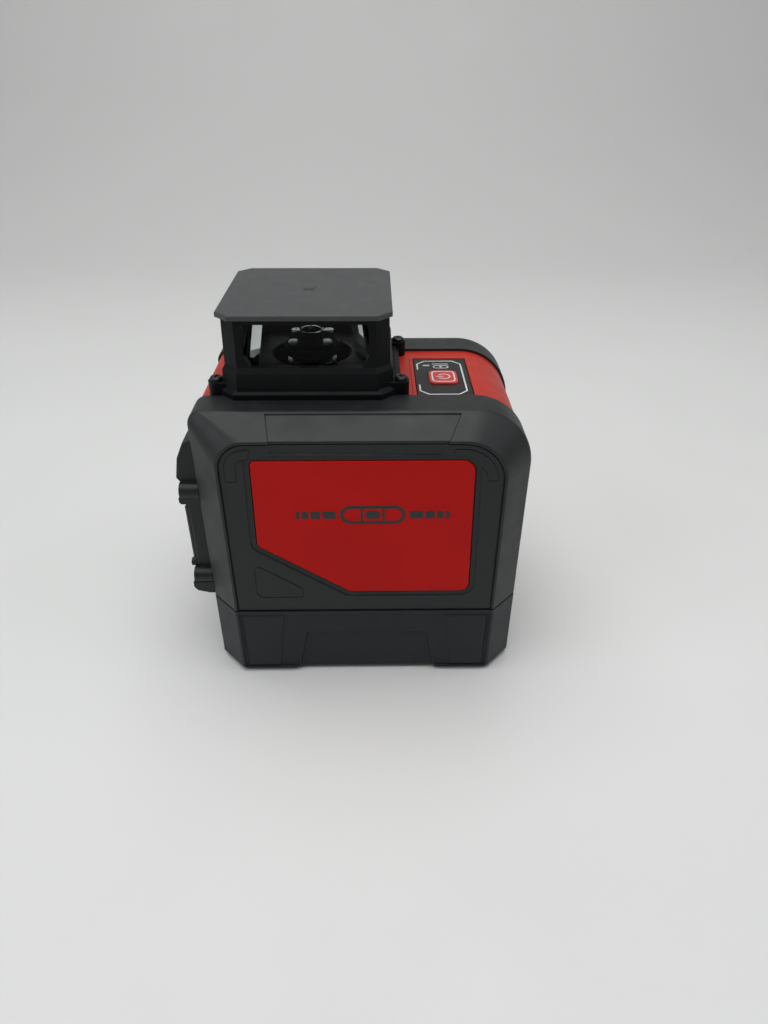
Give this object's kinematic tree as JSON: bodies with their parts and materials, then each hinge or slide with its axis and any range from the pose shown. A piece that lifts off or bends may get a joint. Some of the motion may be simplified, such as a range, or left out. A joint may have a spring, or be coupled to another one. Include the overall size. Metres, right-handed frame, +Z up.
{
  "type": "line laser level",
  "caption": "Self-levelling line laser with a windowed turret on a two-tone housing, a tall front window, a gimballed pendulum with a lock slider, and a battery door in the base.",
  "frame": {"origin": "centre of the bounding box's underside, on the floor the rubber feet stand on", "axes": "+Z up through the turret; +X towards the rear with the lock knob and battery door, -X towards the front window; +Y across, towards the right side shell"},
  "size_m": [0.124, 0.0874, 0.1368],
  "materials": {
    "dark_shell": "fine moulded grain, satin",
    "red_band": "soft-touch red moulding",
    "red_plate": "gloss red inlay",
    "dark_base": "fine moulded grain, satin",
    "inner_plastic": "plain black moulding",
    "seal_rubber": "matt black rubber",
    "insert_brass": "turned brass",
    "screw_zinc": "bright zinc",
    "screw_black": "black oxide",
    "cell_wrap": "printed sleeve, no markings",
    "contact_nickel": "nickel plate",
    "pin_steel": "ground steel",
    "wire_red": "insulated wire",
    "turret_plastic": "fine moulded grain, satin",
    "cap_grey": "fine moulded grain, satin",
    "window_glass": "clear, slightly grey",
    "optic_glass": "polished",
    "bezel_plastic": "black moulding",
    "panel_plastic": "black, half gloss",
    "button_red": "red silicone key",
    "led_clear": "translucent light pipe",
    "board_green": "solder mask",
    "chip_black": "moulded packages",
    "bearing_steel": "polished bearing steel",
    "gimbal_alloy": "machined",
    "head_black": "moulded",
    "module_brass": "turned brass",
    "screw_bright": "bright screws",
    "cone_mirror": "polished mirror cone",
    "weight_brass": "turned brass",
    "damper_copper": "copper plate, stated as brass",
    "yoke_steel": "zinc-plated sheet",
    "magnet_nickel": "nickel plate",
    "lock_plastic": "black moulding"
  },
  "bodies": {
    "body": {"centre_housing": "red_band", "left_side_shell": "dark_shell", "right_side_shell": "dark_shell", "left_plate": "red_plate", "right_plate": "red_plate", "base": "dark_base", "base_deck": "inner_plastic", "base_seal": "seal_rubber", "foot_pads": "seal_rubber", "tripod_insert": "insert_brass", "base_screws": "screw_zinc", "battery_tray": "inner_plastic", "aa_cells": "cell_wrap", "battery_contacts": "contact_nickel", "door_pin": "pin_steel", "battery_leads": "wire_red", "turret_frame": "turret_plastic", "turret_glass": "window_glass", "turret_cap": "cap_grey", "turret_gasket": "seal_rubber", "turret_screws": "screw_black", "front_bezel": "bezel_plastic", "front_glass": "window_glass", "front_gasket": "seal_rubber", "front_bezel_screws": "screw_black", "control_panel": "panel_plastic", "status_led": "led_clear", "control_pcb": "board_green", "power_switch": "chip_black", "control_screws": "screw_zinc", "main_pcb": "board_green", "pcb_components": "chip_black", "pcb_standoffs": "insert_brass", "gimbal_chassis": "inner_plastic", "chassis_screws": "screw_zinc", "outer_bearings": "bearing_steel", "magnet_yoke": "yoke_steel", "damping_magnets": "magnet_nickel", "deck_screws": "screw_zinc"},
    "gimbal_ring": {"gimbal_ring": "gimbal_alloy", "outer_pins": "pin_steel", "inner_bearings": "bearing_steel"},
    "pendulum": {"laser_block": "gimbal_alloy", "up_laser_module": "module_brass", "front_laser_module": "module_brass", "line_lens": "optic_glass", "head_plate": "head_black", "head_screws": "screw_bright", "cone_glass": "optic_glass", "cone_mirror": "cone_mirror", "cone_cap": "head_black", "counterweight": "weight_brass", "damping_plate": "damper_copper", "trim_screws": "screw_black", "inner_pins": "pin_steel"},
    "power_button": {"power_button": "button_red"},
    "lock_slider": {"lock_slider": "lock_plastic"},
    "lock_plunger": {"lock_plunger": "lock_plastic", "lock_pad": "seal_rubber"},
    "battery_door": {"battery_door": "lock_plastic"}
  },
  "joints": [
    {"name": "gimbal_roll", "type": "hinge", "parent": "body", "child": "gimbal_ring", "pos_m": [-0.015, 0, 0.092], "axis": [1, 0, 0], "range_deg": [-4, 4]},
    {"name": "gimbal_pitch", "type": "hinge", "parent": "gimbal_ring", "child": "pendulum", "pos_m": [-0.015, 0, 0.092], "axis": [0, 1, 0], "range_deg": [-4, 4]},
    {"name": "power_button_press", "type": "slide", "parent": "body", "child": "power_button", "axis": [0, 0, -1], "range_m": [0, 0.0006], "stiffness_N_per_m": 900, "springref_m": -0.0008},
    {"name": "lock_slide", "type": "slide", "parent": "body", "child": "lock_slider", "axis": [0, 1, 0], "range_m": [0, 0.008]},
    {"name": "lock_plunger_lift", "type": "slide", "parent": "body", "child": "lock_plunger", "axis": [0, 0, 1], "range_m": [-0.002, 0]},
    {"name": "battery_door_hinge", "type": "hinge", "parent": "body", "child": "battery_door", "pos_m": [0.058, 0, 0.007], "axis": [0, 1, 0], "range_deg": [0, 95]}
  ],
  "couplings": [
    {"joint": "lock_plunger_lift", "follows": "lock_slide", "ratio": -0.25}
  ]
}
